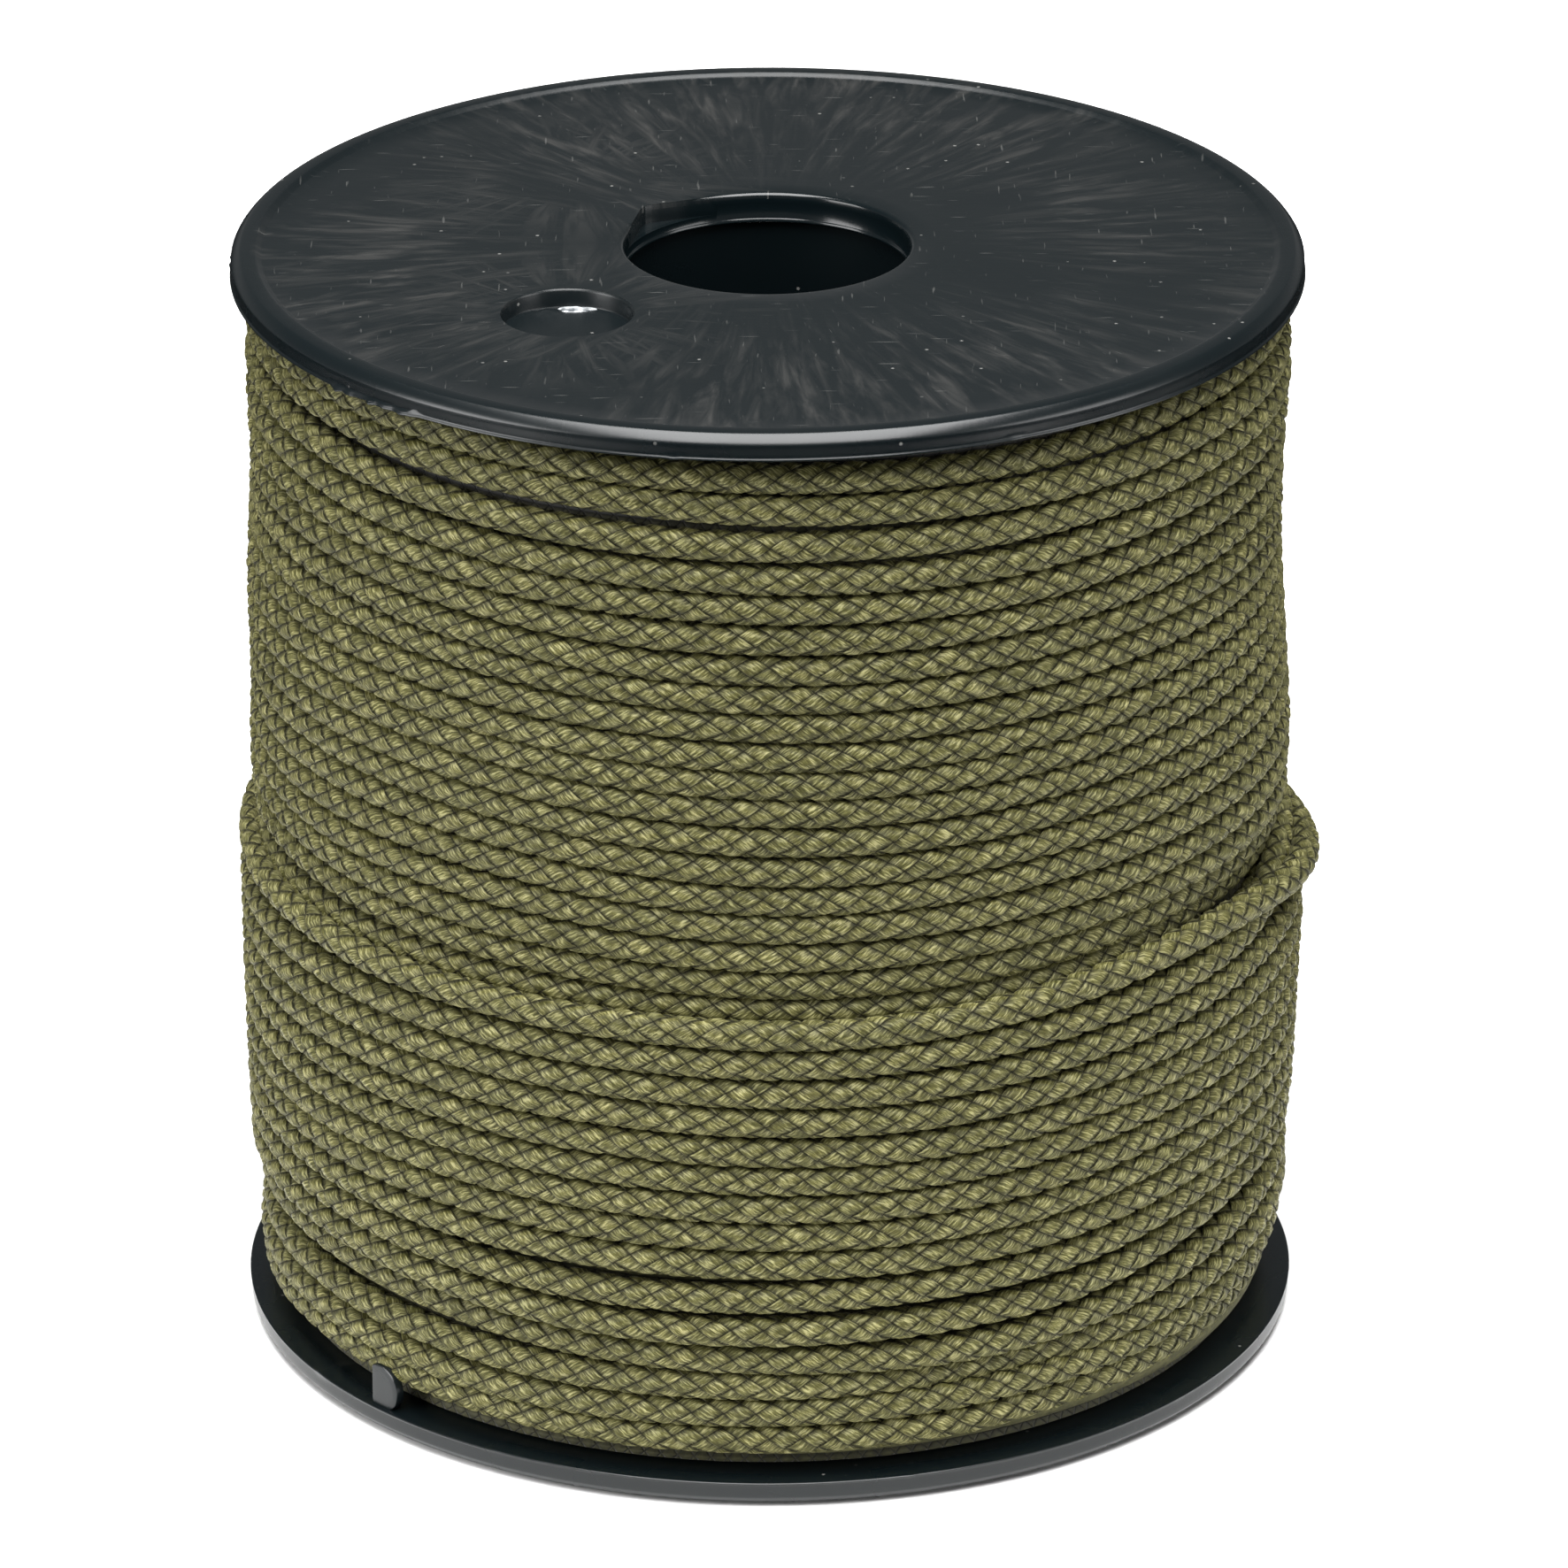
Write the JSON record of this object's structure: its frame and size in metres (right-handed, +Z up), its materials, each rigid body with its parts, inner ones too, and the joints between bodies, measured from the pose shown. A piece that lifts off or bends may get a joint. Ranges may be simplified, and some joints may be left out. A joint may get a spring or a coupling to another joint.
{
  "type": "cord spool",
  "caption": "Two-flange plastic spool, wound with braided cord in layers, with a hole through its axis for a spindle.",
  "frame": {"origin": "centre of the bottom flange's standing face, on the spool's axis", "axes": "+Z up along the spool's axis; +Y away from the side with the gate pocket, +X to the right of it"},
  "size_m": [0.105, 0.105, 0.1106],
  "materials": {
    "flange_plastic": "satin black moulding with faint flow streaks",
    "tube_plastic": "dull black tube",
    "cord": "olive braided multifilament cord"
  },
  "bodies": {
    "root": {"bottom_flange": "flange_plastic", "top_flange": "flange_plastic", "hub_tube": "tube_plastic", "cord_layer_01": "cord", "cord_layer_02": "cord", "cord_layer_03": "cord", "cord_layer_04": "cord", "cord_layer_05": "cord", "cord_layer_06": "cord", "cord_layer_07": "cord", "cord_layer_08": "cord", "cord_layer_09": "cord", "cord_layer_10": "cord", "cord_layer_11": "cord", "cord_layer_12": "cord", "cord_layer_13": "cord", "cord_layer_14": "cord"}
  },
  "joints": []
}
